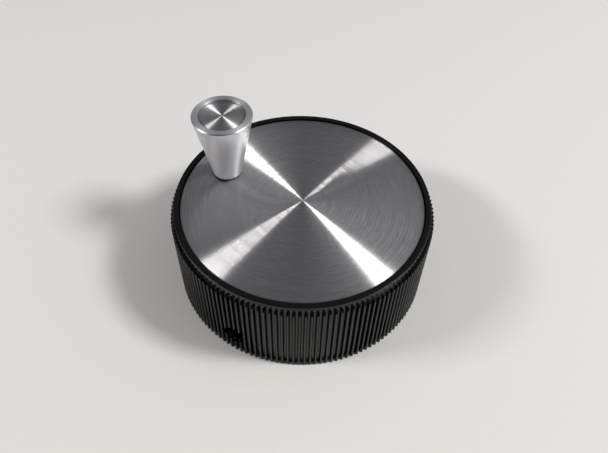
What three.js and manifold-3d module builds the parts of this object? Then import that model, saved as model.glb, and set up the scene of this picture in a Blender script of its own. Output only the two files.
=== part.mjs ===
// Crank tuning knob: a ribbed black moulding with a spun aluminium face disc and a free-turning
// spinner handle set off centre. It clamps on a 6.35 mm (1/4 in) shaft with two set screws.
// Millimetres, +Z up. The origin is the centre of the plane that the skirt's lower edge lies in.
import * as THREE from 'three';
import { mergeVertices } from 'three/addons/utils/BufferGeometryUtils.js';
import Module from 'manifold-3d';

const wasm = await Module();
wasm.setup();

// ---------------------------------------------------------------- driving dimensions

const KNOB_RADIUS = 28.8;        // over the rib crests
const KNOB_HEIGHT = 21.2;        // lower edge of the skirt to the top of the rim
const RIB_COUNT = 152;
const RIB_DEPTH = 0.85;          // the ribs stand this far out from the plain wall
const RIB_STOP = 1.8;            // their flat tops lie this far below the top of the rim
const RIB_BASE_SHARE = 0.62;     // width of a rib at the wall, as a share of the pitch
const RIB_CREST_SHARE = 0.3;     // and at its crest
const RIB_SHOULDER = 0.2;        // how far the crest stands out beyond the rib's flanks
const SKIRT_WALL = 2.05;         // without the ribs
const FRONT_PLATE = 2.05;        // thickness of the moulding behind the disc

const DISC_RADIUS = 26.5;
const DISC_THICKNESS = 1.0;
const RIM_LIP = 0.3;             // the rim stands this far above the disc
const DISC_GAP = 0.3;            // radial gap between disc and rim
const ADHESIVE_THICKNESS = 0.25;
const SEAT_GAP = 0.05;           // gap left between stacked pieces

const HUB_RADIUS = 8.5;
const HUB_RECESS = 0.6;          // the hub's end lies this far inside the skirt's edge
const WEB_COUNT = 6;
const WEB_THICKNESS = 1.8;
const WEB_RECESS = 3.0;

const BUSHING_RADIUS = 5.5;
const BUSHING_LENGTH = 15.0;
const SHAFT_BORE_RADIUS = 3.2;   // for a 6.35 mm shaft
const SHAFT_BORE_DEPTH = 14.0;
const FIT_CLEARANCE = 0.1;       // radial clearance round the moulded-in brass pieces

const SCREW_HEIGHT = 5.85;       // set screw axes above the origin plane
const SCREW_RADIUS = 2.35;       // no. 10-32
const SCREW_LENGTH = 5.0;
const SCREW_SOCKET = 2.4;        // across flats
const SCREW_SOCKET_DEPTH = 2.4;
const SCREW_TIP_RADIUS = 3.4;    // distance of the tips from the knob's axis
const SCREW_HOLE_RADIUS = 2.45;  // same hole right through skirt, hub and bushing
const SCREW_AZIMUTHS = { a: -118.6, b: 121.4 };   // degrees, 120 degrees apart

const HANDLE_OFFSET = 19.15;     // handle axis from the knob's axis
const HANDLE_AZIMUTH = 153.8;    // degrees
const HANDLE_BASE_RADIUS = 3.25;
const HANDLE_TOP_RADIUS = 6.5;
const HANDLE_LENGTH = 15.85;
const HANDLE_EDGE = 0.25;        // chamfer at the top edge
const HANDLE_LIFT = 0.5;         // base of the handle above the disc

const CAP_RADIUS = 4.95;
const CAP_RECESS_RADIUS = 5.0;
const CAP_RECESS_DEPTH = 1.55;
const CAP_THICKNESS = 1.05;
const CAP_BEVEL_WIDTH = 0.6;
const CAP_BEVEL_DROP = 0.4;
const CAP_ADHESIVE_THICKNESS = 0.15;

const AXLE_RADIUS = 1.5;
const AXLE_THREAD_RADIUS = 1.2;  // M2.5
const AXLE_HEAD_RADIUS = 2.75;
const AXLE_HEAD_HEIGHT = 1.8;
const THREAD_HOLE_RADIUS = 1.35; // washers, nut and insert round the axle's thread
const BUSH_INNER_RADIUS = 1.55;
const BUSH_OUTER_RADIUS = 2.3;
const BUSH_POCKET_RADIUS = 2.35;
const BUSH_LENGTH = 4.0;
const HEAD_POCKET_RADIUS = 3.5;
const HEAD_POCKET_DEPTH = 3.1;

const BOSS_RADIUS = 4.4;         // moulded boss under the handle
const BOSS_LENGTH = 4.5;         // below the front plate
const INSERT_RADIUS = 2.2;
const INSERT_LENGTH = 6.1;
const NUT_WELL_RADIUS = 4.8;     // room for a nut driver

// ---------------------------------------------------------------- heights worked out from these

const DISC_TOP = KNOB_HEIGHT - RIM_LIP;
const DISC_BOTTOM = DISC_TOP - DISC_THICKNESS;
const ADHESIVE_BOTTOM = DISC_BOTTOM - SEAT_GAP - ADHESIVE_THICKNESS;
const PLATE_TOP = ADHESIVE_BOTTOM - SEAT_GAP;
const PLATE_BOTTOM = PLATE_TOP - FRONT_PLATE;
const WALL_RADIUS = KNOB_RADIUS - RIB_DEPTH;
const RIB_TOP = KNOB_HEIGHT - RIB_STOP;
const CAVITY_RADIUS = WALL_RADIUS - SKIRT_WALL;
const BOSS_BOTTOM = PLATE_BOTTOM - BOSS_LENGTH;
const HANDLE_BASE = DISC_TOP + HANDLE_LIFT;
const HANDLE_TOP = HANDLE_BASE + HANDLE_LENGTH;
const CAP_FLOOR = HANDLE_TOP - CAP_RECESS_DEPTH;
const HEAD_FLOOR = CAP_FLOOR - HEAD_POCKET_DEPTH;

// ---------------------------------------------------------------- solids

const ROUND = 24;                // facets round a small turned piece
const ROUND_MEDIUM = 36;         // round the hub, the boss and the cap
const ROUND_GRIP = 48;           // round the handle
const ROUND_LARGE = 72;          // round the disc and inside the skirt

/** Turns a three.js geometry into a manifold-3d solid. */
function toSolid(geometry) {
  const bare = geometry.clone();
  bare.deleteAttribute('normal');
  bare.deleteAttribute('uv');
  const merged = mergeVertices(bare, 1e-5);
  const mesh = new wasm.Mesh({
    numProp: 3,
    vertProperties: new Float32Array(merged.attributes.position.array),
    triVerts: new Uint32Array(merged.index.array),
  });
  return new wasm.Manifold(mesh);
}

/** Turns a manifold-3d solid back into a three.js geometry. */
function toGeometry(solid) {
  const mesh = solid.getMesh();
  const geometry = new THREE.BufferGeometry();
  geometry.setAttribute('position', new THREE.BufferAttribute(mesh.vertProperties, 3));
  geometry.setIndex(new THREE.BufferAttribute(mesh.triVerts, 1));
  geometry.computeVertexNormals();
  return geometry;
}

/** Geometry turned about Z from [radius, height] points that run up the outside. */
function turnedGeometry(points, facets) {
  const profile = points.map(([radius, height]) => new THREE.Vector2(radius, height));
  return new THREE.LatheGeometry(profile, facets).rotateX(Math.PI / 2);
}

/** Solid of revolution whose profile starts and ends on the axis. */
function turned(points, facets = ROUND) {
  return toSolid(turnedGeometry(points, facets));
}

/** Plain cylinder about Z. */
function rod(radius, bottom, top, facets = ROUND) {
  return turned([[0, bottom], [radius, bottom], [radius, top], [0, top]], facets);
}

/** Plain ring about Z. */
function ring(inner, outer, bottom, top, facets = ROUND) {
  const profile = [[inner, bottom], [outer, bottom], [outer, top], [inner, top], [inner, bottom]];
  return turned(profile, facets);
}

/** Hexagonal prism about Z, given its width across flats. */
function hexPrism(acrossFlats, bottom, top) {
  const circumradius = acrossFlats / Math.sqrt(3);
  return rod(circumradius, bottom, top, 6);
}

/** Box of the given size, centred on [x, y, z]. */
function block(size, centre) {
  return toSolid(new THREE.BoxGeometry(...size).translate(...centre));
}

/** The solid moved out to a distance from the Z axis, at an azimuth in degrees. */
function placed(solid, distance, azimuth) {
  return solid.translate([distance, 0, 0]).rotate([0, 0, azimuth]);
}

/** Cylinder along a radius of the knob, at the set screws' height. */
function radialRod(radius, from, to, azimuth) {
  const alongX = rod(radius, from, to).rotate([0, 90, 0]);
  return alongX.translate([0, 0, SCREW_HEIGHT]).rotate([0, 0, azimuth]);
}

// ---------------------------------------------------------------- knob pieces

/** Corners of one rib's section, as [share of the pitch from its middle, radius]. */
const RIB_CORNERS = [
  [-RIB_BASE_SHARE / 2, WALL_RADIUS],
  [-RIB_BASE_SHARE / 2, KNOB_RADIUS - RIB_SHOULDER],
  [-RIB_CREST_SHARE / 2, KNOB_RADIUS],
  [RIB_CREST_SHARE / 2, KNOB_RADIUS],
  [RIB_BASE_SHARE / 2, KNOB_RADIUS - RIB_SHOULDER],
  [RIB_BASE_SHARE / 2, WALL_RADIUS],
];

/** Prism from z = 0 whose outline repeats the given corners on every pitch. */
function pitchedPrism(corners, top) {
  const outline = [];
  for (let rib = 0; rib < RIB_COUNT; rib += 1) {
    for (const [share, radius] of corners) {
      const azimuth = ((rib + share) / RIB_COUNT) * Math.PI * 2;
      outline.push(new THREE.Vector2(radius, 0).rotateAround(new THREE.Vector2(), azimuth));
    }
  }
  const shape = new THREE.Shape(outline);
  return toSolid(new THREE.ExtrudeGeometry(shape, { depth: top, bevelEnabled: false }));
}

/** The moulding's outside: a plain drum with upright ribs that stop short of the rim. */
function ribbedDrum() {
  const wallCorners = RIB_CORNERS.filter(([, radius]) => radius === WALL_RADIUS);
  return pitchedPrism(wallCorners, KNOB_HEIGHT).add(pitchedPrism(RIB_CORNERS, RIB_TOP));
}

/** One radial web between hub and skirt. */
function web(azimuth) {
  const start = BUSHING_RADIUS + WEB_THICKNESS;
  const end = CAVITY_RADIUS + SKIRT_WALL / 2;
  const top = PLATE_BOTTOM + FRONT_PLATE / 2;
  const size = [end - start, WEB_THICKNESS, top - WEB_RECESS];
  const centre = [(start + end) / 2, 0, (WEB_RECESS + top) / 2];
  return block(size, centre).rotate([0, 0, azimuth]);
}

/** Ribbed moulding: rim, skirt, front plate, hub, webs and the handle's boss. */
function knobShell() {
  const overshoot = 1;
  const pocketRadius = DISC_RADIUS + DISC_GAP;
  const pocket = rod(pocketRadius, PLATE_TOP, KNOB_HEIGHT + overshoot, ROUND_LARGE);
  const cavity = ring(HUB_RADIUS, CAVITY_RADIUS, -overshoot, PLATE_BOTTOM, ROUND_LARGE);
  const hubRecess = rod(HUB_RADIUS + overshoot / 2, -overshoot, HUB_RECESS, ROUND_MEDIUM);
  let shell = ribbedDrum().subtract(pocket).subtract(cavity).subtract(hubRecess);

  for (let i = 0; i < WEB_COUNT; i += 1) {
    shell = shell.add(web(HANDLE_AZIMUTH + (360 / WEB_COUNT) * i));
  }
  const nutWell = rod(NUT_WELL_RADIUS, -overshoot, BOSS_BOTTOM, ROUND_MEDIUM);
  const boss = rod(BOSS_RADIUS, BOSS_BOTTOM, PLATE_BOTTOM + FRONT_PLATE / 2, ROUND_MEDIUM);
  const bossBore = rod(INSERT_RADIUS + FIT_CLEARANCE, -overshoot, PLATE_TOP + overshoot);
  shell = shell.subtract(placed(nutWell, HANDLE_OFFSET, HANDLE_AZIMUTH));
  shell = shell.add(placed(boss, HANDLE_OFFSET, HANDLE_AZIMUTH));
  shell = shell.subtract(placed(bossBore, HANDLE_OFFSET, HANDLE_AZIMUTH));

  const bushingEnd = HUB_RECESS + BUSHING_LENGTH + FIT_CLEARANCE;
  const bushingRadius = BUSHING_RADIUS + FIT_CLEARANCE;
  shell = shell.subtract(rod(bushingRadius, -overshoot, bushingEnd, ROUND_MEDIUM));
  for (const azimuth of Object.values(SCREW_AZIMUTHS)) {
    shell = shell.subtract(radialRod(SCREW_HOLE_RADIUS, 0, KNOB_RADIUS + overshoot, azimuth));
  }
  return shell;
}

/** Spun aluminium disc with a slightly broken edge and a hole for the handle's axle. */
function faceDisc() {
  const edge = 0.12;
  const body = turned([
    [0, DISC_BOTTOM],
    [DISC_RADIUS, DISC_BOTTOM],
    [DISC_RADIUS, DISC_TOP - edge],
    [DISC_RADIUS - edge, DISC_TOP],
    [0, DISC_TOP],
  ], ROUND_LARGE);
  const hole = rod(AXLE_RADIUS + 0.4, DISC_BOTTOM - 1, DISC_TOP + 1);
  return body.subtract(placed(hole, HANDLE_OFFSET, HANDLE_AZIMUTH));
}

/** Die-cut adhesive film between disc and moulding. */
function faceAdhesive() {
  const top = ADHESIVE_BOTTOM + ADHESIVE_THICKNESS;
  const film = rod(DISC_RADIUS - 1, ADHESIVE_BOTTOM, top, ROUND_LARGE);
  const hole = rod(INSERT_RADIUS + 0.4, ADHESIVE_BOTTOM - 1, top + 1);
  return film.subtract(placed(hole, HANDLE_OFFSET, HANDLE_AZIMUTH));
}

/** Brass bushing moulded into the hub, bored for the shaft and cross-drilled for the screws. */
function hubBushing() {
  const top = HUB_RECESS + BUSHING_LENGTH;
  const neck = 0.5;
  const neckBottom = HUB_RECESS + BUSHING_LENGTH * 0.7;
  const neckTop = neckBottom + 1.6;
  const lead = 0.4;
  const bottom = HUB_RECESS;
  let bushing = turned([
    [0, bottom + SHAFT_BORE_DEPTH],
    [SHAFT_BORE_RADIUS, bottom + SHAFT_BORE_DEPTH],
    [SHAFT_BORE_RADIUS, bottom + lead],
    [SHAFT_BORE_RADIUS + lead, bottom],
    [BUSHING_RADIUS, bottom],
    [BUSHING_RADIUS, neckBottom],
    [BUSHING_RADIUS - neck, neckBottom],
    [BUSHING_RADIUS - neck, neckTop],
    [BUSHING_RADIUS, neckTop],
    [BUSHING_RADIUS, top],
    [0, top],
  ], ROUND_MEDIUM);
  for (const azimuth of Object.values(SCREW_AZIMUTHS)) {
    bushing = bushing.subtract(radialRod(SCREW_HOLE_RADIUS, 0, BUSHING_RADIUS + 1, azimuth));
  }
  return bushing;
}

/** Cup-point set screw along Z, with its point at the origin. */
function setScrew() {
  const cupRadius = 1.1;
  const cupDepth = 0.5;
  const chamfer = 0.5;
  const body = turned([
    [0, cupDepth],
    [cupRadius, 0],
    [SCREW_RADIUS - chamfer, 0],
    [SCREW_RADIUS, chamfer],
    [SCREW_RADIUS, SCREW_LENGTH - chamfer / 2],
    [SCREW_RADIUS - chamfer / 2, SCREW_LENGTH],
    [0, SCREW_LENGTH],
  ]);
  return body.subtract(hexPrism(SCREW_SOCKET, SCREW_LENGTH - SCREW_SOCKET_DEPTH, SCREW_LENGTH + 1));
}

// ---------------------------------------------------------------- handle pieces, about its axis

/** Threaded brass insert moulded into the boss. */
function bossInsert() {
  const top = PLATE_TOP - SEAT_GAP;
  const bottom = top - INSERT_LENGTH;
  const neck = 0.35;
  const third = INSERT_LENGTH / 3;
  return turned([
    [THREAD_HOLE_RADIUS, bottom],
    [INSERT_RADIUS, bottom],
    [INSERT_RADIUS, bottom + third],
    [INSERT_RADIUS - neck, bottom + third],
    [INSERT_RADIUS - neck, top - third],
    [INSERT_RADIUS, top - third],
    [INSERT_RADIUS, top],
    [THREAD_HOLE_RADIUS, top],
    [THREAD_HOLE_RADIUS, bottom],
  ]);
}

const FLAT_WASHER = { top: BOSS_BOTTOM - SEAT_GAP, thickness: 0.5, radius: 2.9 };
const LOCK_WASHER = {
  top: FLAT_WASHER.top - FLAT_WASHER.thickness - SEAT_GAP,
  thickness: 0.6,
  radius: 2.3,
};
const NUT = {
  top: LOCK_WASHER.top - LOCK_WASHER.thickness - SEAT_GAP,
  thickness: 2.0,
  acrossFlats: 5.0,
};
const WAVE_WASHER = { bottom: HEAD_FLOOR + 0.05, thickness: 0.2, swing: 0.1, radius: 2.9 };
const HEAD_WASHER = { bottom: HEAD_FLOOR + 0.5, thickness: 0.4, radius: 3.2 };

/** Shoulder screw: thread in the insert, shoulder as the handle's axle, socket head on top. */
function handleAxle() {
  const threadEnd = NUT.top - NUT.thickness - 0.5;
  const seat = PLATE_TOP;
  const headBottom = HEAD_WASHER.bottom + HEAD_WASHER.thickness + SEAT_GAP;
  const headTop = headBottom + AXLE_HEAD_HEIGHT;
  const chamfer = 0.3;
  const body = turned([
    [0, threadEnd],
    [AXLE_THREAD_RADIUS - chamfer, threadEnd],
    [AXLE_THREAD_RADIUS, threadEnd + chamfer],
    [AXLE_THREAD_RADIUS, seat],
    [AXLE_RADIUS, seat],
    [AXLE_RADIUS, headBottom],
    [AXLE_HEAD_RADIUS, headBottom],
    [AXLE_HEAD_RADIUS, headTop - chamfer],
    [AXLE_HEAD_RADIUS - chamfer, headTop],
    [0, headTop],
  ]);
  return body.subtract(hexPrism(2.0, headTop - 1.2, headTop + 1));
}

/** Ring of rectangular section round the axle's thread. */
function axleWasher({ top, thickness, radius }) {
  return ring(THREAD_HOLE_RADIUS, radius, top - thickness, top);
}

/** Split spring washer: a ring with a slanted gap. */
function lockWasher() {
  const slot = block([LOCK_WASHER.radius * 2, 0.5, 4], [LOCK_WASHER.radius, 0, 0]);
  const slanted = slot.rotate([25, 0, 0]).translate([0, 0, LOCK_WASHER.top]);
  return axleWasher(LOCK_WASHER).subtract(slanted);
}

/** Hexagonal nut with its corners turned off. */
function axleNut() {
  const bottom = NUT.top - NUT.thickness;
  const cornerRadius = NUT.acrossFlats / Math.sqrt(3);
  const drop = 0.3;
  const barrel = turned([
    [0, bottom],
    [cornerRadius - drop * 1.7, bottom],
    [cornerRadius, bottom + drop],
    [cornerRadius, NUT.top - drop],
    [cornerRadius - drop * 1.7, NUT.top],
    [0, NUT.top],
  ]);
  const hexagon = hexPrism(NUT.acrossFlats, bottom, NUT.top);
  return barrel.intersect(hexagon).subtract(rod(THREAD_HOLE_RADIUS, bottom - 1, NUT.top + 1));
}

/** Nylon washer that the handle turns on. */
function thrustWasher() {
  return ring(AXLE_RADIUS + 0.1, HANDLE_BASE_RADIUS - 0.15, DISC_TOP + SEAT_GAP,
    HANDLE_BASE - SEAT_GAP);
}

/** Three-wave spring washer that takes up the handle's end play. */
function waveWasher() {
  const { bottom, thickness, swing, radius } = WAVE_WASHER;
  const inner = AXLE_RADIUS + 0.1;
  const low = bottom + swing;
  const profile = [
    [inner, low],
    [radius, low],
    [radius, low + thickness],
    [inner, low + thickness],
    [inner, low],
  ];
  const geometry = turnedGeometry(profile, ROUND);
  const position = geometry.attributes.position;
  const waves = 3;
  for (let i = 0; i < position.count; i += 1) {
    const azimuth = Math.atan2(position.getY(i), position.getX(i));
    position.setZ(i, position.getZ(i) + swing * Math.sin(waves * azimuth));
  }
  return toSolid(geometry);
}

/** Flat steel washer under the axle's head. */
function headWasher() {
  const { bottom, thickness, radius } = HEAD_WASHER;
  return ring(AXLE_RADIUS + 0.1, radius, bottom, bottom + thickness);
}

/** Conical aluminium grip, bored for its two bushes, the axle's head and the cap. */
function handleGrip() {
  const taper = (HANDLE_TOP_RADIUS - HANDLE_BASE_RADIUS) / HANDLE_LENGTH;
  const baseEdge = 0.15;
  const lowerPocketTop = HANDLE_BASE + BUSH_LENGTH + 0.2;
  const upperPocketBottom = HEAD_FLOOR - BUSH_LENGTH - 0.2;
  const throat = AXLE_RADIUS + 0.3;
  const topEdge = HANDLE_TOP_RADIUS - taper * HANDLE_EDGE;
  return turned([
    [BUSH_POCKET_RADIUS, HANDLE_BASE],
    [HANDLE_BASE_RADIUS - baseEdge, HANDLE_BASE],
    [HANDLE_BASE_RADIUS + taper * baseEdge, HANDLE_BASE + baseEdge],
    [topEdge, HANDLE_TOP - HANDLE_EDGE],
    [topEdge - HANDLE_EDGE, HANDLE_TOP],
    [CAP_RECESS_RADIUS, HANDLE_TOP],
    [CAP_RECESS_RADIUS, CAP_FLOOR],
    [HEAD_POCKET_RADIUS, CAP_FLOOR],
    [HEAD_POCKET_RADIUS, HEAD_FLOOR],
    [BUSH_POCKET_RADIUS, HEAD_FLOOR],
    [BUSH_POCKET_RADIUS, upperPocketBottom],
    [throat, upperPocketBottom],
    [throat, lowerPocketTop],
    [BUSH_POCKET_RADIUS, lowerPocketTop],
    [BUSH_POCKET_RADIUS, HANDLE_BASE],
  ], ROUND_GRIP);
}

/** Sintered bronze bush. */
function gripBush(bottom) {
  return ring(BUSH_INNER_RADIUS, BUSH_OUTER_RADIUS, bottom, bottom + BUSH_LENGTH);
}

/** Adhesive ring that holds the cap. */
function capAdhesive() {
  const bottom = CAP_FLOOR + SEAT_GAP / 2;
  return ring(HEAD_POCKET_RADIUS + 0.2, CAP_RADIUS - 0.25, bottom,
    bottom + CAP_ADHESIVE_THICKNESS);
}

/** Spun aluminium cap, bevelled down to the wall of its recess. */
function handleCap() {
  const bottom = CAP_FLOOR + CAP_ADHESIVE_THICKNESS + SEAT_GAP;
  const top = bottom + CAP_THICKNESS;
  return turned([
    [0, bottom],
    [CAP_RADIUS, bottom],
    [CAP_RADIUS, top - CAP_BEVEL_DROP],
    [CAP_RADIUS - CAP_BEVEL_WIDTH, top],
    [0, top],
  ], ROUND_MEDIUM);
}

// ---------------------------------------------------------------- materials and scene graph

const LOOKS = {
  moulding: { color: 0x16171a, roughness: 0.42, metalness: 0.0 },
  spunAluminium: { color: 0xc9cacd, roughness: 0.3, metalness: 1.0 },
  satinAluminium: { color: 0xd2d3d5, roughness: 0.4, metalness: 1.0 },
  adhesive: { color: 0xd8d4c8, roughness: 0.8, metalness: 0.0 },
  brass: { color: 0xb8944f, roughness: 0.35, metalness: 1.0 },
  bronze: { color: 0x9a7045, roughness: 0.6, metalness: 1.0 },
  steel: { color: 0xa9abae, roughness: 0.35, metalness: 1.0 },
  blackSteel: { color: 0x26272a, roughness: 0.5, metalness: 0.8 },
  nylon: { color: 0x202124, roughness: 0.6, metalness: 0.0 },
};

/** Named mesh with a material of its own. */
function piece(name, solid, look) {
  const mesh = new THREE.Mesh(toGeometry(solid), new THREE.MeshStandardMaterial(LOOKS[look]));
  mesh.name = name;
  return mesh;
}

const knob = new THREE.Group();
knob.add(
  piece('knob_shell', knobShell(), 'moulding'),
  piece('face_disc', faceDisc(), 'spunAluminium'),
  piece('face_adhesive', faceAdhesive(), 'adhesive'),
  piece('hub_bushing', hubBushing(), 'brass'),
);

for (const [letter, azimuth] of Object.entries(SCREW_AZIMUTHS)) {
  const radius = new THREE.Group();
  radius.rotation.z = THREE.MathUtils.degToRad(azimuth);
  const screw = piece(`set_screw_${letter}`, setScrew(), 'blackSteel');
  screw.rotation.y = Math.PI / 2;
  screw.position.set(SCREW_TIP_RADIUS, 0, SCREW_HEIGHT);
  radius.add(screw);
  knob.add(radius);
}

const handleAxis = new THREE.Group();
const azimuth = THREE.MathUtils.degToRad(HANDLE_AZIMUTH);
handleAxis.position.set(HANDLE_OFFSET * Math.cos(azimuth), HANDLE_OFFSET * Math.sin(azimuth), 0);
handleAxis.add(
  piece('boss_insert', bossInsert(), 'brass'),
  piece('handle_axle', handleAxle(), 'steel'),
  piece('axle_flat_washer', axleWasher(FLAT_WASHER), 'steel'),
  piece('axle_lock_washer', lockWasher(), 'steel'),
  piece('axle_nut', axleNut(), 'steel'),
  piece('thrust_washer', thrustWasher(), 'nylon'),
  piece('lower_bush', gripBush(HANDLE_BASE + 0.1), 'bronze'),
  piece('upper_bush', gripBush(HEAD_FLOOR - BUSH_LENGTH - 0.1), 'bronze'),
  piece('wave_washer', waveWasher(), 'steel'),
  piece('head_washer', headWasher(), 'steel'),
  piece('handle_grip', handleGrip(), 'satinAluminium'),
  piece('cap_adhesive', capAdhesive(), 'adhesive'),
  piece('handle_cap', handleCap(), 'spunAluminium'),
);
knob.add(handleAxis);

export default knob;
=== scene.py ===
"""Looks for the crank tuning knob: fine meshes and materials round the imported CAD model."""
import math

import bpy
import bmesh
from mathutils import Matrix, Vector


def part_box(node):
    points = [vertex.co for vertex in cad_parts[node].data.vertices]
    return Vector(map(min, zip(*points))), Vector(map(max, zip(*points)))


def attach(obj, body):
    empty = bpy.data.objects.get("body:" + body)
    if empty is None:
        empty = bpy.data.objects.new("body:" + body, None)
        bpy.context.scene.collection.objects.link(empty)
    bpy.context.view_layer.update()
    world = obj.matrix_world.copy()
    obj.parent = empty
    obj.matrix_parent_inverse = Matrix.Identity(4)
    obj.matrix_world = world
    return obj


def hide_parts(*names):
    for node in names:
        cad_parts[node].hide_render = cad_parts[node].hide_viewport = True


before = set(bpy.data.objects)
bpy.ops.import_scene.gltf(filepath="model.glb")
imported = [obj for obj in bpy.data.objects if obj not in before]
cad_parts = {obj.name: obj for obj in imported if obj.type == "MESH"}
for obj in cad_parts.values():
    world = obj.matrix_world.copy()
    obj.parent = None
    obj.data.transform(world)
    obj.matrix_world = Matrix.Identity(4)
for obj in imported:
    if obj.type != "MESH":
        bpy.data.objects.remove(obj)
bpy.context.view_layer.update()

MM = 0.001
TAU = math.tau
TOUCHING = 1e-7                  # metres; points closer than this are one point
SLIVER = 1e-6                    # metres; a face narrower than this is left out

# ------------------------------------------------------------------ sizes, read from the frame

shell_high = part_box("knob_shell")[1]
disc_low, disc_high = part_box("face_disc")
grip_low, grip_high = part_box("handle_grip")
cap_low, cap_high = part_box("handle_cap")
washer_low, washer_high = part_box("thrust_washer")
bushing_low, bushing_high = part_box("hub_bushing")

KNOB_RADIUS = shell_high.x
KNOB_TOP = shell_high.z
DISC_RADIUS = disc_high.x
DISC_TOP = disc_high.z
HANDLE_X = (grip_low.x + grip_high.x) / 2
HANDLE_Y = (grip_low.y + grip_high.y) / 2
HANDLE_CENTRE = (HANDLE_X, HANDLE_Y)
HANDLE_AZIMUTH = math.atan2(HANDLE_Y, HANDLE_X)

# Sizes inside the pieces are the CAD model's own, which a box doesn't show.
RIB_COUNT = 152
RIB_DEPTH = 0.85 * MM
RIB_STOP = 1.8 * MM              # the ribs end this far below the top of the rim
SKIRT_WALL = 2.05 * MM
PLATE_THICKNESS = 2.05 * MM
DISC_GAP = 0.3 * MM
FILM_STACK = 0.35 * MM
HUB_RADIUS = 8.5 * MM
BUSHING_CLEARANCE = 0.1 * MM
WEB_COUNT = 6
WEB_THICKNESS = 1.8 * MM
WEB_RECESS = 3.0 * MM
BOSS_RADIUS = 4.4 * MM
BOSS_LENGTH = 4.5 * MM
BOSS_BORE = 2.3 * MM
NUT_WELL_RADIUS = 4.8 * MM
SCREW_HEIGHT = 5.85 * MM
SCREW_HOLE_RADIUS = 2.45 * MM
SCREW_AZIMUTHS = (math.radians(-118.6), math.radians(121.4))
DISC_HOLE_RADIUS = 1.9 * MM      # round the handle's axle
HANDLE_BASE_RADIUS = 3.25 * MM
HANDLE_CHAMFER = 0.22 * MM       # at the top edge
CAP_CLEARANCE = 0.05 * MM        # round the cap in its recess
CAP_FILM_STACK = 0.2 * MM
HEAD_POCKET_RADIUS = 3.5 * MM    # round the axle's head
HEAD_POCKET_DEPTH = 3.1 * MM
BUSH_POCKET_RADIUS = 2.35 * MM
BUSH_POCKET_LENGTH = 4.2 * MM
AXLE_PASSAGE_RADIUS = 1.8 * MM   # between the two bushes
CAP_BEVEL_WIDTH = 0.6 * MM
CAP_BEVEL_DROP = 0.4 * MM
WASHER_BORE_RADIUS = 1.6 * MM

PLATE_TOP = disc_low.z - FILM_STACK
PLATE_BOTTOM = PLATE_TOP - PLATE_THICKNESS
WALL_RADIUS = KNOB_RADIUS - RIB_DEPTH
RIB_TOP = KNOB_TOP - RIB_STOP
CAVITY_RADIUS = WALL_RADIUS - SKIRT_WALL
BOSS_BOTTOM = PLATE_BOTTOM - BOSS_LENGTH


# ------------------------------------------------------------------ mesh helpers

def rounded(points, closed=False, steps=4):
    """Outline through (radius, height, fillet) points, with an arc at each filleted corner."""
    outline = []
    last = len(points) - 1
    for i, (radius, height, fillet) in enumerate(points):
        corner = Vector((radius, height))
        if fillet == 0 or (not closed and i in (0, last)):
            outline.append(corner)
            continue
        back = (Vector(points[i - 1][:2]) - corner).normalized()
        ahead = (Vector(points[(i + 1) % len(points)][:2]) - corner).normalized()
        half = back.angle(ahead) / 2
        start = back * (fillet / math.tan(half))
        centre = (back + ahead).normalized() * (fillet / math.sin(half))
        spoke = start - centre
        end_spoke = ahead * (fillet / math.tan(half)) - centre
        sweep = math.atan2(spoke.cross(end_spoke), spoke.dot(end_spoke))
        for k in range(steps + 1):
            turn = Matrix.Rotation(sweep * k / steps, 2)
            outline.append(corner + centre + turn @ spoke)
    return outline


def mesh_object(name, verts, faces, uvs=None):
    """A new object from plain lists; uvs holds one pair for each face corner."""
    mesh = bpy.data.meshes.new(name)
    mesh.from_pydata(verts, [], faces)
    if uvs is not None:
        layer = mesh.uv_layers.new(name="polar")
        layer.data.foreach_set("uv", [c for uv in uvs for c in uv])
    obj = bpy.data.objects.new(name, mesh)
    bpy.context.scene.collection.objects.link(obj)
    face_outward(mesh)
    return obj


def face_outward(mesh):
    """Makes every face of a closed mesh point outwards."""
    bm = bmesh.new()
    bm.from_mesh(mesh)
    bmesh.ops.recalc_face_normals(bm, faces=bm.faces)
    bm.to_mesh(mesh)
    bm.free()


def drop_slivers(mesh):
    """Takes away the faces and edges of no size that a boolean can leave."""
    bm = bmesh.new()
    bm.from_mesh(mesh)
    bmesh.ops.dissolve_degenerate(bm, dist=SLIVER, edges=bm.edges)
    bm.to_mesh(mesh)
    bm.free()


def shade(obj, sharp_degrees=32):
    """Smooth shading that keeps corners sharper than the given angle."""
    mesh = obj.data
    mesh.shade_smooth()
    mesh.set_sharp_from_angle(angle=math.radians(sharp_degrees))
    return obj


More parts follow.
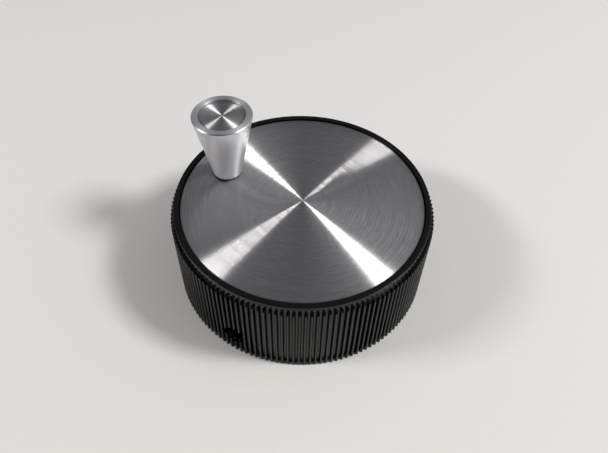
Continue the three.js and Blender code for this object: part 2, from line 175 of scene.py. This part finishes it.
def lathe(name, outline, segments, centre=(0.0, 0.0), closed=False):
    """Turns an outline of (radius, height) points about a vertical axis.

    An open outline starts and ends on the axis. The UVs are polar: u goes round, v along the
    outline, so that tangents run round the piece like the marks of a lathe.
    """
    verts = []
    rings = []
    for radius, height in outline:
        if radius < TOUCHING:
            rings.append([len(verts)])
            verts.append((centre[0], centre[1], height))
            continue
        rings.append(range(len(verts), len(verts) + segments))
        for s in range(segments):
            azimuth = TAU * s / segments
            verts.append((
                centre[0] + radius * math.cos(azimuth),
                centre[1] + radius * math.sin(azimuth),
                height,
            ))
    lengths = [0.0]
    for here, there in zip(outline, outline[1:] + outline[:1]):
        lengths.append(lengths[-1] + math.dist(here, there))
    faces = []
    uvs = []
    pairs = len(outline) if closed else len(outline) - 1
    for i in range(pairs):
        a, b = rings[i], rings[(i + 1) % len(rings)]
        v0, v1 = lengths[i] / lengths[-1], lengths[i + 1] / lengths[-1]
        for s in range(segments):
            t = (s + 1) % segments
            u0, u1 = s / segments, (s + 1) / segments
            middle = (u0 + u1) / 2
            if len(a) == 1:
                faces.append((a[0], b[t], b[s]))
                uvs += [(middle, v0), (u1, v1), (u0, v1)]
            elif len(b) == 1:
                faces.append((a[s], a[t], b[0]))
                uvs += [(u0, v0), (u1, v0), (middle, v1)]
            else:
                faces.append((a[s], a[t], b[t], b[s]))
                uvs += [(u0, v0), (u1, v0), (u1, v1), (u0, v1)]
    return mesh_object(name, verts, faces, uvs)


def boolean(obj, tool, operation):
    """Cuts or joins a tool with an object's mesh, and removes the tool."""
    modifier = obj.modifiers.new(operation, "BOOLEAN")
    modifier.operation = operation
    modifier.solver = "EXACT"
    modifier.object = tool
    graph = bpy.context.evaluated_depsgraph_get()
    result = bpy.data.meshes.new_from_object(obj.evaluated_get(graph))
    obj.modifiers.remove(modifier)
    old = obj.data
    obj.data = result
    bpy.data.meshes.remove(old)
    bpy.data.objects.remove(tool)


def tool_object(bm):
    """A new object from a bmesh, which it frees."""
    mesh = bpy.data.meshes.new("tool")
    bm.to_mesh(mesh)
    bm.free()
    obj = bpy.data.objects.new("tool", mesh)
    bpy.context.scene.collection.objects.link(obj)
    return obj


def joined(objects):
    """One tool holding the meshes of several, which it takes the place of."""
    bm = bmesh.new()
    for obj in objects:
        part = obj.data.copy()
        part.transform(obj.matrix_world)
        bm.from_mesh(part)
        bpy.data.meshes.remove(part)
        bpy.data.objects.remove(obj)
    return tool_object(bm)


def cylinder(radius, bottom, top, centre=(0.0, 0.0), segments=64):
    """A plain cutting tool about a vertical axis."""
    outline = [(0, bottom), (radius, bottom), (radius, top), (0, top)]
    return lathe("tool", [Vector(p) for p in outline], segments, centre)


def box_tool(low, high, azimuth=0.0):
    """A box between two corners, turned about the Z axis."""
    bm = bmesh.new()
    bmesh.ops.create_cube(bm, size=1)
    size = Vector(high) - Vector(low)
    middle = (Vector(high) + Vector(low)) / 2
    place = Matrix.Rotation(azimuth, 4, "Z") @ Matrix.Translation(middle)
    bmesh.ops.transform(bm, matrix=place @ Matrix.Diagonal((*size, 1)), verts=bm.verts)
    return tool_object(bm)


def lie_along_radius(obj, azimuth, height):
    """Turns a piece made along Z so that it points out along a radius of the knob."""
    turn = Matrix.Rotation(azimuth, 4, "Z") @ Matrix.Rotation(TAU / 4, 4, "Y")
    obj.data.transform(Matrix.Translation((0, 0, height)) @ turn)
    return obj


# ------------------------------------------------------------------ the ribbed moulding

RIB_EDGE = 0.06 * MM             # broken edge round each rib's two ends
RIM_FILLET = 0.12 * MM           # rounding of the rim's outer edge
RIM_STEPS = 4
INNER_SEGMENTS = RIB_COUNT * 2
RIM_BAND = 0.5 * MM              # flat ring round the disc's pocket
FOOT_BAND = 0.6 * MM             # flat ring round the hollow back
PLATE_RING = DISC_RADIUS * 0.5   # where the plate's rings give way to one flat face
RIB_FLANK = 0.245                # from the middle of a crest to that of a flank, in pitches
WEB_INNER = bushing_high.x + 1.5 * MM      # in the hub's wall
WEB_OUTER = CAVITY_RADIUS + 1 * MM         # in the skirt's wall
ROOT = 0.5 * MM                  # the webs and the boss reach this far into the plate
OVERSHOOT = 1 * MM               # cutting tools reach this far past the piece they cut

# Half of one rib's section: (share of the pitch from the crest, share of the rib's depth).
RIB_SECTION = (
    (0.0, 0.0),
    (0.06, 0.012),
    (0.11, 0.05),
    (0.15, 0.11),
    (0.18, 0.2),
    (0.21, 0.34),
    (0.245, 0.54),
    (0.28, 0.76),
    (0.305, 0.9),
    (0.335, 0.975),
    (0.38, 1.0),
    (0.5, 1.0),
)


def rib_columns(inset=0.0):
    """(azimuth, radius) of each vertical line of the ribbed wall, its ribs thinner by an inset."""
    columns = []
    pitch = TAU / RIB_COUNT
    for rib in range(RIB_COUNT):
        left = [(-x, depth) for x, depth in RIB_SECTION[1:-1]][::-1]
        for x, depth in left + list(RIB_SECTION):
            azimuth = pitch * (rib + x)
            radius = KNOB_RADIUS - RIB_DEPTH * depth
            if depth < 1:
                side = max(-1.0, min(x / RIB_FLANK, 1.0))
                azimuth -= side * inset / WALL_RADIUS
                radius = max(radius - inset * math.sqrt(1 - side * side), WALL_RADIUS)
            columns.append((azimuth, radius))
    return columns


def drum():
    """Outside, rim, pocket and hollow back of the moulding as one closed mesh."""
    whole = rib_columns()
    slim = rib_columns(RIB_EDGE)
    wall = [(azimuth, WALL_RADIUS) for azimuth, _ in whole]
    count = len(whole)
    levels = [(slim, 0), (whole, RIB_EDGE), (whole, RIB_TOP - RIB_EDGE), (slim, RIB_TOP),
              (wall, RIB_TOP)]
    for k in range(RIM_STEPS + 1):
        angle = TAU / 4 * k / RIM_STEPS
        drop = RIM_FILLET * (1 - math.sin(angle))
        back = RIM_FILLET * (1 - math.cos(angle))
        levels.append(([(azimuth, WALL_RADIUS - back) for azimuth, _ in whole], KNOB_TOP - drop))
    verts = []
    faces = []

    def strip(lower, upper, length):
        for s in range(length):
            t = (s + 1) % length
            faces.append((lower + s, lower + t, upper + t, upper + s))

    for columns, height in levels:
        for azimuth, radius in columns:
            verts.append((radius * math.cos(azimuth), radius * math.sin(azimuth), height))
    for level in range(len(levels) - 1):
        strip(level * count, (level + 1) * count, count)

    pocket = DISC_RADIUS + DISC_GAP
    inside = rounded([
        (pocket + RIM_BAND, KNOB_TOP, 0),
        (pocket, KNOB_TOP, 0.08 * MM),
        (pocket, PLATE_TOP, 0.1 * MM),
        (PLATE_RING, PLATE_TOP, 0),
    ])
    bore = bushing_high.x + BUSHING_CLEARANCE
    hub_end = bushing_low.z
    back = rounded([
        (CAVITY_RADIUS + FOOT_BAND, 0, 0),
        (CAVITY_RADIUS, 0, 0.3 * MM),
        (CAVITY_RADIUS, PLATE_BOTTOM, 0.6 * MM),
        (HUB_RADIUS, PLATE_BOTTOM, 0.6 * MM),
        (HUB_RADIUS, hub_end, 0.25 * MM),
        (bore, hub_end, 0),
        (bore, bushing_high.z + BUSHING_CLEARANCE, 0),
    ])
    starts = []
    for outline in (inside, back):
        starts.append(len(verts))
        for radius, height in outline:
            for s in range(INNER_SEGMENTS):
                azimuth = TAU * s / INNER_SEGMENTS
                verts.append((radius * math.cos(azimuth), radius * math.sin(azimuth), height))
        for i in range(len(outline) - 1):
            lower = starts[-1] + i * INNER_SEGMENTS
            strip(lower, lower + INNER_SEGMENTS, INNER_SEGMENTS)
        closing = starts[-1] + (len(outline) - 1) * INNER_SEGMENTS
        faces.append(tuple(range(closing, closing + INNER_SEGMENTS)))

    # The flat rings at the rim and at the foot, one many-sided face per inner segment.
    per_rib = count // RIB_COUNT
    half_rib = per_rib // 2
    first = half_rib - 1
    for outer, inner in (((len(levels) - 1) * count, starts[0]), (0, starts[1])):
        for s in range(INNER_SEGMENTS):
            begin = first + s * half_rib
            run = [outer + (begin + k) % count for k in range(half_rib + 1)]
            faces.append((*run, inner + (s + 1) % INNER_SEGMENTS, inner + s))
    body = mesh_object("moulding", verts, faces)
    bm = bmesh.new()
    bm.from_mesh(body.data)
    bmesh.ops.remove_doubles(bm, verts=bm.verts, dist=TOUCHING)
    bm.to_mesh(body.data)
    bm.free()
    return body


def moulding():
    """The whole ribbed moulding, with its webs, its boss and its holes."""
    body = drum()
    webs = []
    for i in range(WEB_COUNT):
        low = (WEB_INNER, -WEB_THICKNESS / 2, WEB_RECESS)
        high = (WEB_OUTER, WEB_THICKNESS / 2, PLATE_BOTTOM + ROOT)
        webs.append(box_tool(low, high, HANDLE_AZIMUTH + TAU * i / WEB_COUNT))
    boolean(body, joined(webs), "UNION")
    well = cylinder(NUT_WELL_RADIUS, -OVERSHOOT, BOSS_BOTTOM, HANDLE_CENTRE)
    boolean(body, well, "DIFFERENCE")
    boss = lathe("tool", rounded([
        (0, BOSS_BOTTOM, 0),
        (BOSS_RADIUS, BOSS_BOTTOM, 0.25 * MM),
        (BOSS_RADIUS, PLATE_BOTTOM + ROOT, 0),
        (0, PLATE_BOTTOM + ROOT, 0),
    ]), 64, HANDLE_CENTRE)
    boolean(body, boss, "UNION")
    cuts = [cylinder(BOSS_BORE, -OVERSHOOT, KNOB_TOP, HANDLE_CENTRE)]
    for azimuth in SCREW_AZIMUTHS:
        passage = cylinder(SCREW_HOLE_RADIUS, 0, KNOB_RADIUS + OVERSHOOT, segments=48)
        cuts.append(lie_along_radius(passage, azimuth, SCREW_HEIGHT))
    boolean(body, joined(cuts), "DIFFERENCE")
    drop_slivers(body.data)
    return shade(body, 35)


# ------------------------------------------------------------------ material helpers

def new_material(name):
    """An empty node material; returns it, its tree and its Principled shader."""
    material = bpy.data.materials.new(name)
    material.use_nodes = True
    tree = material.node_tree
    return material, tree, tree.nodes["Principled BSDF"]


def node(tree, kind, inputs=None, **settings):
    """Adds a node. Each input is a plain value or the socket that feeds it."""
    made = tree.nodes.new(kind)
    for key, value in settings.items():
        setattr(made, key, value)
    for key, value in (inputs or {}).items():
        if isinstance(value, bpy.types.NodeSocket):
            tree.links.new(value, made.inputs[key])
        else:
            made.inputs[key].default_value = value
    return made


def maths(tree, operation, a, b=None, c=None):
    """Result socket of a Math node."""
    inputs = {i: v for i, v in enumerate((a, b, c)) if v is not None}
    return node(tree, "ShaderNodeMath", inputs, operation=operation).outputs[0]


def spread(tree, value, low, high):
    """A 0 to 1 value stretched between two numbers."""
    return node(tree, "ShaderNodeMapRange", {"Value": value, "To Min": low, "To Max": high}).outputs[0]


def blend_colours(tree, factor, first, second):
    """Mix of two colours."""
    mix = node(tree, "ShaderNodeMix", data_type="RGBA")
    for socket, value in zip((mix.inputs[0], mix.inputs[6], mix.inputs[7]),
                             (factor, first, second)):
        if isinstance(value, bpy.types.NodeSocket):
            tree.links.new(value, socket)
        else:
            socket.default_value = value if isinstance(value, float) else (*value, 1.0)
    return mix.outputs[2]


def noise_value(tree, vector, scale, detail=2.0, roughness=0.5):
    """Noise in the range 0 to 1, with its scale in cells to the unit of the vector."""
    made = node(tree, "ShaderNodeTexNoise", {
        "Vector": vector, "Scale": scale, "Detail": detail, "Roughness": roughness,
    })
    return made.outputs["Fac"]


BUMP_STRENGTH = 0.3


def bump(tree, shader, height, distance):
    """Feeds a 0 to 1 height times a distance in metres to the shader's normal."""
    made = node(tree, "ShaderNodeBump", {
        "Height": height, "Distance": distance, "Strength": BUMP_STRENGTH,
    })
    tree.links.new(made.outputs[0], shader.inputs["Normal"])


def from_axis(tree, centre):
    """Distance from a vertical axis, and the unit vector that points away from it."""
    place = node(tree, "ShaderNodeTexCoord").outputs["Object"]
    offset = node(tree, "ShaderNodeVectorMath", {0: place, 1: (*centre, 0)},
                  operation="SUBTRACT").outputs[0]
    flat = node(tree, "ShaderNodeVectorMath", {0: offset, 1: (1, 1, 0)},
                operation="MULTIPLY").outputs[0]
    length = node(tree, "ShaderNodeVectorMath", {0: flat}, operation="LENGTH").outputs["Value"]
    unit = node(tree, "ShaderNodeVectorMath", {0: flat}, operation="NORMALIZE").outputs[0]
    return length, unit


def lathe_marks(tree, centre, ring_scale, wander):
    """Noise coordinates of rings about a vertical axis.

    There are about ring_scale rings to the metre, and a ring changes along its length more with
    a larger wander.
    """
    length, unit = from_axis(tree, centre)
    turn = node(tree, "ShaderNodeVectorMath", {0: unit, 1: (wander,) * 3},
                operation="MULTIPLY").outputs[0]
    sides = node(tree, "ShaderNodeSeparateXYZ", {0: turn}).outputs
    along = maths(tree, "MULTIPLY", length, ring_scale)
    return node(tree, "ShaderNodeCombineXYZ", {0: along, 1: sides[0], 2: sides[1]}).outputs[0]


def groove_normal(tree, outward, lean):
    """The surface normal, tipped along the radius by the slope of a groove's wall."""
    tilt = node(tree, "ShaderNodeVectorMath", {0: outward, "Scale": lean},
                operation="SCALE").outputs[0]
    flat_normal = node(tree, "ShaderNodeNewGeometry").outputs["Normal"]
    leaning = node(tree, "ShaderNodeVectorMath", {0: flat_normal, 1: tilt},
                   operation="ADD").outputs[0]
    return node(tree, "ShaderNodeVectorMath", {0: leaning}, operation="NORMALIZE").outputs[0]


# ------------------------------------------------------------------ materials

QUARTER_TURN = 0.25              # turns an anisotropic highlight across its tangent
BRUSHED_DARK = (0.42, 0.41, 0.435)
BRUSHED_LIGHT = (0.82, 0.805, 0.835)
COARSE_WIDTH = 12                # coarse marks are this many times as wide as fine ones
COARSE_SHARE = 0.15              # of the marks' tone
SWELL_WIDTH = 2                  # the groove walls' slope changes over this many fine marks
SWELL_WAVES = 20.0
FINE_WANDER = 8.0
COARSE_WANDER = 1.2
SWELL_WANDER = 0.4
SWELL_SLOPE = 0.25               # how far the slope swings each way


def spun_aluminium(name, centre, ring_scale, rough_middle, slopes):
    """Aluminium brushed in circles: each slope of the groove walls is a share of the shine."""
    material, tree, shader = new_material(name)
    fine = noise_value(tree, lathe_marks(tree, centre, ring_scale, FINE_WANDER), 1.0, 2.0, 0.6)
    coarse_marks = lathe_marks(tree, centre, ring_scale / COARSE_WIDTH, COARSE_WANDER)
    coarse = noise_value(tree, coarse_marks, 1.0, 3.0, 0.6)
    place = node(tree, "ShaderNodeTexCoord").outputs["Object"]
    cloud = noise_value(tree, place, 160, 3.0)
    fine_tone = maths(tree, "MULTIPLY", fine, 1 - COARSE_SHARE)
    tone = maths(tree, "MULTIPLY_ADD", coarse, COARSE_SHARE, fine_tone)
    colour = blend_colours(tree, tone, BRUSHED_DARK, BRUSHED_LIGHT)
    mark_rough = spread(tree, fine, rough_middle - 0.02, rough_middle + 0.02)
    rough = maths(tree, "MULTIPLY_ADD", cloud, 0.04, mark_rough)
    unit = from_axis(tree, centre)[1]
    outward = node(tree, "ShaderNodeVectorTransform", {0: unit}, vector_type="VECTOR",
                   convert_from="OBJECT", convert_to="WORLD").outputs[0]
    swell_marks = lathe_marks(tree, centre, ring_scale / SWELL_WIDTH, SWELL_WANDER)
    swell = noise_value(tree, swell_marks, 1.0, 1.0)
    phase = maths(tree, "MULTIPLY", swell, SWELL_WAVES)
    wave = maths(tree, "MULTIPLY", maths(tree, "SINE", phase), SWELL_SLOPE)
    tangent = node(tree, "ShaderNodeTangent", direction_type="RADIAL", axis="Z").outputs[0]
    walls = [shader] + [node(tree, "ShaderNodeBsdfPrincipled") for _ in slopes[1:]]
    surface = None
    for count, (wall, slope) in enumerate(zip(walls, slopes), 1):
        tree.links.new(colour, wall.inputs["Base Color"])
        tree.links.new(rough, wall.inputs["Roughness"])
        wall.inputs["Metallic"].default_value = 1.0
        wall.inputs["Anisotropic"].default_value = 1.0
        wall.inputs["Anisotropic Rotation"].default_value = QUARTER_TURN
        tree.links.new(tangent, wall.inputs["Tangent"])
        lean = maths(tree, "ADD", wave, slope)
        tree.links.new(groove_normal(tree, outward, lean), wall.inputs["Normal"])
        if surface is None:
            surface = wall.outputs[0]
        else:                    # a share of 1 / count keeps all the walls' shares equal
            surface = node(tree, "ShaderNodeMixShader",
                           {0: 1 / count, 1: surface, 2: wall.outputs[0]}).outputs[0]
    tree.links.new(surface, tree.nodes["Material Output"].inputs["Surface"])
    return material


TURNED_RINGS = 9000.0            # to the metre, up the cone and across its end
TURNED_WANDER = 2.0


def satin_aluminium():
    """Fine turned and anodised aluminium of the handle, with painted light on its top end: faces
    turned up get a paler base colour.
    """
    material, tree, shader = new_material("satin_aluminium")
    place = node(tree, "ShaderNodeTexCoord").outputs["Object"]
    length, unit = from_axis(tree, HANDLE_CENTRE)
    sides = node(tree, "ShaderNodeSeparateXYZ", {0: unit}).outputs
    height = node(tree, "ShaderNodeSeparateXYZ", {0: place}).outputs[2]
    turned = node(tree, "ShaderNodeCombineXYZ", {
        0: maths(tree, "MULTIPLY", maths(tree, "ADD", height, length), TURNED_RINGS),
        1: maths(tree, "MULTIPLY", sides[0], TURNED_WANDER),
        2: maths(tree, "MULTIPLY", sides[1], TURNED_WANDER),
    }).outputs[0]
    grain = noise_value(tree, turned, 1.0, 2.0, 0.7)
    cloud = noise_value(tree, place, 300, 3.0)
    side = blend_colours(tree, grain, (0.45, 0.45, 0.465), (0.73, 0.73, 0.745))
    # Painted light: this paler colour goes on the faces turned up, lighter than the cone's sides.
    end = blend_colours(tree, grain, (0.86, 0.86, 0.88), (0.97, 0.97, 0.98))
    facing = node(tree, "ShaderNodeSeparateXYZ",
                  {0: node(tree, "ShaderNodeNewGeometry").outputs["Normal"]}).outputs[2]
    painted_top_light = node(tree, "ShaderNodeMapRange", {"Value": facing, "From Min": 0.8, "From Max": 1.0})
    tree.links.new(blend_colours(tree, painted_top_light.outputs[0], side, end), shader.inputs["Base Color"])
    rough = maths(tree, "MULTIPLY_ADD", cloud, 0.06, spread(tree, grain, 0.34, 0.42))
    tree.links.new(rough, shader.inputs["Roughness"])
    shader.inputs["Metallic"].default_value = 1.0
    shader.inputs["Anisotropic"].default_value = 0.75
    shader.inputs["Anisotropic Rotation"].default_value = QUARTER_TURN
    tangent = node(tree, "ShaderNodeTangent", direction_type="RADIAL", axis="Z")
    tree.links.new(tangent.outputs[0], shader.inputs["Tangent"])
    return material


DUST_COLOUR = (0.25, 0.24, 0.22)
DUST_STRENGTH = 0.35             # of a speck's colour over the black


def black_moulding():
    """Satin black thermoset, a little dusty and handled."""
    material, tree, shader = new_material("black_moulding")
    place = node(tree, "ShaderNodeTexCoord").outputs["Object"]
    grain = noise_value(tree, place, 6000, 3.0, 0.6)
    patch = noise_value(tree, place, 120, 4.0, 0.6)
    specks = node(tree, "ShaderNodeTexVoronoi", {"Vector": place, "Scale": 420.0}).outputs[0]
    dust = node(tree, "ShaderNodeMapRange", {
        "Value": specks, "From Min": 0.035, "From Max": 0.02, "To Min": 0.0, "To Max": 1.0,
    }).outputs[0]
    base = blend_colours(tree, patch, (0.002, 0.002, 0.0022), (0.004, 0.004, 0.0043))
    speck_share = maths(tree, "MULTIPLY", dust, DUST_STRENGTH)
    colour = blend_colours(tree, speck_share, base, DUST_COLOUR)
    tree.links.new(colour, shader.inputs["Base Color"])
    rough = maths(tree, "MULTIPLY_ADD", patch, 0.08, spread(tree, grain, 0.16, 0.24))
    tree.links.new(rough, shader.inputs["Roughness"])
    shader.inputs["Specular IOR Level"].default_value = 0.3
    bump(tree, shader, grain, 0.004 * MM)
    return material


def plain_metal(name, dark, light, smoothest, roughest, metallic=1.0):
    """Turned or plated metal, and with metallic 0 dull film or nylon."""
    material, tree, shader = new_material(name)
    place = node(tree, "ShaderNodeTexCoord").outputs["Object"]
    grain = noise_value(tree, place, 3000, 3.0, 0.6)
    colour = blend_colours(tree, grain, dark, light)
    tree.links.new(colour, shader.inputs["Base Color"])
    tree.links.new(spread(tree, grain, smoothest, roughest), shader.inputs["Roughness"])
    shader.inputs["Metallic"].default_value = metallic
    bump(tree, shader, grain, 0.01 * MM)
    return material


def pale_floor():
    """Plain pale card."""
    material, tree, shader = new_material("pale_floor")
    place = node(tree, "ShaderNodeTexCoord").outputs["Object"]
    fibre = noise_value(tree, place, 900, 4.0)
    colour = blend_colours(tree, fibre, (0.8, 0.785, 0.77), (0.83, 0.815, 0.8))
    tree.links.new(colour, shader.inputs["Base Color"])
    shader.inputs["Roughness"].default_value = 0.75
    return material


MOULDING_BLACK = black_moulding()
DISC_ALUMINIUM = spun_aluminium("disc_aluminium", (0, 0), 6000, 0.22,
                                (-1.45, -0.68, -0.22, 0.22, 0.68, 1.45))
CAP_ALUMINIUM = spun_aluminium("cap_aluminium", HANDLE_CENTRE, 12000, 0.46,
                               (-1.7, -0.55, 0.55, 1.7))
HANDLE_ALUMINIUM = satin_aluminium()
BRASS = plain_metal("turned_brass", (0.5, 0.33, 0.12), (0.68, 0.47, 0.19), 0.22, 0.38)
BRONZE = plain_metal("sintered_bronze", (0.26, 0.14, 0.06), (0.46, 0.27, 0.13), 0.5, 0.75)
STEEL = plain_metal("zinc_steel", (0.42, 0.43, 0.45), (0.6, 0.61, 0.62), 0.25, 0.42)
BLACK_STEEL = plain_metal("black_steel", (0.03, 0.03, 0.033), (0.07, 0.07, 0.075), 0.35, 0.5)
FILM = plain_metal("adhesive_film", (0.56, 0.52, 0.44), (0.7, 0.66, 0.57), 0.6, 0.8, 0.0)
NYLON = plain_metal("black_nylon", (0.012, 0.012, 0.013), (0.03, 0.03, 0.032), 0.45, 0.6, 0.0)


# ------------------------------------------------------------------ pieces

def finish_piece(obj, material, body, cad_node):
    """Gives a new piece its material and body, and hides the node it replaces."""
    obj.data.materials.clear()
    obj.data.materials.append(material)
    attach(obj, body)
    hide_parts(cad_node)


FLAT_RINGS = 6


def face_disc():
    """The spun disc, with rings of faces so that its tangents stay round."""
    flat = [(DISC_RADIUS * k / FLAT_RINGS, DISC_TOP, 0) for k in range(FLAT_RINGS - 1, 0, -1)]
    outline = rounded([
        (0, disc_low.z, 0),
        (DISC_RADIUS, disc_low.z, 0.05 * MM),
        (DISC_RADIUS, DISC_TOP, 0.14 * MM),
        *flat,
        (0, DISC_TOP, 0),
    ])
    disc = lathe("spun_disc", outline, 256)
    below, above = disc_low.z - OVERSHOOT, DISC_TOP + OVERSHOOT
    hole = cylinder(DISC_HOLE_RADIUS, below, above, HANDLE_CENTRE)
    boolean(disc, hole, "DIFFERENCE")
    return shade(disc)


def handle_grip():
    """The conical grip, its end ring and its bores."""
    base, top = grip_low.z, grip_high.z
    top_radius = (grip_high.x - grip_low.x) / 2
    recess = cap_high.x - HANDLE_X + CAP_CLEARANCE
    cap_floor = cap_low.z - CAP_FILM_STACK
    head_floor = cap_floor - HEAD_POCKET_DEPTH
    outline = rounded([
        (BUSH_POCKET_RADIUS, base, 0),
        (HANDLE_BASE_RADIUS, base, 0.15 * MM),
        (top_radius, top - HANDLE_CHAMFER, 0.06 * MM),
        (top_radius - HANDLE_CHAMFER, top, 0.06 * MM),
        (recess, top, 0.06 * MM),
        (recess, cap_floor, 0),
        (HEAD_POCKET_RADIUS, cap_floor, 0),
        (HEAD_POCKET_RADIUS, head_floor, 0),
        (BUSH_POCKET_RADIUS, head_floor, 0),
        (BUSH_POCKET_RADIUS, head_floor - BUSH_POCKET_LENGTH, 0),
        (AXLE_PASSAGE_RADIUS, head_floor - BUSH_POCKET_LENGTH, 0),
        (AXLE_PASSAGE_RADIUS, base + BUSH_POCKET_LENGTH, 0),
        (BUSH_POCKET_RADIUS, base + BUSH_POCKET_LENGTH, 0),
    ], closed=True)
    return shade(lathe("cone_grip", outline, 160, HANDLE_CENTRE, closed=True), 25)


def handle_cap():
    """The spun cap, bevelled down to the wall of its recess, with rings of faces on top."""
    radius = cap_high.x - HANDLE_X
    top = cap_high.z
    outline = rounded([
        (0, cap_low.z, 0),
        (radius, cap_low.z, 0.05 * MM),
        (radius, top - CAP_BEVEL_DROP, 0.05 * MM),
        (radius - CAP_BEVEL_WIDTH, top, 0.25 * MM),
        (radius * 0.6, top, 0),
        (radius * 0.3, top, 0),
        (0, top, 0),
    ])
    return shade(lathe("spun_cap", outline, 128, HANDLE_CENTRE))


def washer_ring():
    """The nylon washer under the handle."""
    outer = (washer_high.x - washer_low.x) / 2
    outline = rounded([
        (WASHER_BORE_RADIUS, washer_low.z, 0.05 * MM),
        (outer, washer_low.z, 0.1 * MM),
        (outer, washer_high.z, 0.1 * MM),
        (WASHER_BORE_RADIUS, washer_high.z, 0.05 * MM),
    ], closed=True)
    return shade(lathe("bearing_washer", outline, 96, HANDLE_CENTRE, closed=True))


finish_piece(moulding(), MOULDING_BLACK, "knob", "knob_shell")
finish_piece(face_disc(), DISC_ALUMINIUM, "knob", "face_disc")
finish_piece(handle_grip(), HANDLE_ALUMINIUM, "handle", "handle_grip")
finish_piece(handle_cap(), CAP_ALUMINIUM, "handle", "handle_cap")
finish_piece(washer_ring(), NYLON, "knob", "thrust_washer")

CARRIED_OVER = {
    "face_adhesive": FILM,
    "cap_adhesive": FILM,
    "hub_bushing": BRASS,
    "boss_insert": BRASS,
    "lower_bush": BRONZE,
    "upper_bush": BRONZE,
    "handle_axle": STEEL,
    "axle_flat_washer": STEEL,
    "axle_lock_washer": STEEL,
    "axle_nut": STEEL,
    "wave_washer": STEEL,
    "head_washer": STEEL,
    "set_screw_a": BLACK_STEEL,
    "set_screw_b": BLACK_STEEL,
}
for name, material in CARRIED_OVER.items():
    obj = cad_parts[name]
    if not obj.material_slots:
        obj.data.materials.append(material)
    for material_slot in obj.material_slots:
        material_slot.material = material


# ------------------------------------------------------------------ camera, light and floor

CAMERA_ELEVATION = math.radians(47.66)
CAMERA_DISTANCE = 5.076 * DISC_RADIUS      # from the middle of the disc
CAMERA_AIM = Vector((0.0148, -0.2822, 0)) * DISC_RADIUS + Vector((0, 0, DISC_TOP))
CAMERA_ROLL = math.radians(1.619)
CAMERA_LENS = 36.434             # millimetres, as is the sensor's width
SENSOR_WIDTH = 36
NEAR_CLIP = 0.005
LAMP_DISTANCE = 0.9
FLOOR_HALF = 1.5

ROOM_LIGHT = (                   # (axis, its side, strength of the light from there)
    ("X", 1.0, 0.85),
    ("X", -1.0, 0.2),
    ("Y", 1.0, 0.22),
    ("Z", 1.0, 0.19),
)
ROOM_COLOUR = (0.96, 0.97, 1.0, 1.0)


def set_camera():
    """Looks down on the front of the knob, a little off level."""
    data = bpy.data.cameras.new("camera")
    data.lens = CAMERA_LENS
    data.sensor_width = SENSOR_WIDTH
    data.clip_start = NEAR_CLIP
    camera = bpy.data.objects.new("camera", data)
    bpy.context.scene.collection.objects.link(camera)
    back = Vector((0, -math.cos(CAMERA_ELEVATION), math.sin(CAMERA_ELEVATION)))
    camera.location = back * CAMERA_DISTANCE + Vector((0, 0, DISC_TOP))
    facing = (CAMERA_AIM - camera.location).to_track_quat("-Z", "Y")
    roll = Matrix.Rotation(CAMERA_ROLL, 3, "Z").to_quaternion()
    camera.rotation_mode = "QUATERNION"
    camera.rotation_quaternion = facing @ roll
    bpy.context.scene.camera = camera


def area_lamp(name, azimuth, elevation, size, power, colour):
    """A lamp that faces the knob, with its size across and along its streak on the disc."""
    data = bpy.data.lights.new(name, "AREA")
    data.shape = "RECTANGLE"
    data.size, data.size_y = size
    data.energy = power
    data.color = colour
    lamp = bpy.data.objects.new(name, data)
    bpy.context.scene.collection.objects.link(lamp)
    a, e = math.radians(azimuth), math.radians(elevation)
    way = Vector((math.cos(a) * math.cos(e), math.sin(a) * math.cos(e), math.sin(e)))
    to_camera = Vector((0, -math.cos(CAMERA_ELEVATION), math.sin(CAMERA_ELEVATION)))
    streak = way + to_camera
    streak.z = -(streak.x * way.x + streak.y * way.y) / way.z
    across = way.cross(streak).normalized()
    lamp.rotation_mode = "QUATERNION"
    lamp.rotation_quaternion = Matrix((across, way.cross(across), way)).transposed().to_quaternion()
    lamp.location = way * LAMP_DISTANCE


def set_world():
    """Soft light from a room that is brightest to the right and dark on the camera's side."""
    world = bpy.data.worlds.new("world")
    world.use_nodes = True
    tree = world.node_tree
    way = node(tree, "ShaderNodeTexCoord").outputs["Generated"]
    parts = node(tree, "ShaderNodeSeparateXYZ", {0: way}).outputs
    total = 0.0
    for axis, side, strength in ROOM_LIGHT:
        toward = maths(tree, "MAXIMUM", maths(tree, "MULTIPLY", parts[axis], side), 0.0)
        total = maths(tree, "MULTIPLY_ADD", maths(tree, "POWER", toward, 2.0), strength, total)
    background = tree.nodes["Background"]
    background.inputs["Color"].default_value = ROOM_COLOUR
    tree.links.new(total, background.inputs["Strength"])
    bpy.context.scene.world = world


def set_floor():
    """A large pale sheet under the knob."""
    sides = ((-1, -1), (1, -1), (1, 1), (-1, 1))
    corners = [(x * FLOOR_HALF, y * FLOOR_HALF, 0) for x, y in sides]
    floor = mesh_object("floor", corners, [(0, 1, 2, 3)])
    floor.data.materials.append(pale_floor())


set_camera()
set_world()
area_lamp("lamp_right", azimuth=-8, elevation=49, size=(0.176, 0.2), power=4.8,
          colour=(1.0, 0.99, 0.97))
area_lamp("lamp_left", azimuth=-171, elevation=39, size=(0.255, 0.12), power=3.0,
          colour=(1.0, 0.97, 0.93))
set_floor()
bpy.context.scene.view_settings.view_transform = "Standard"
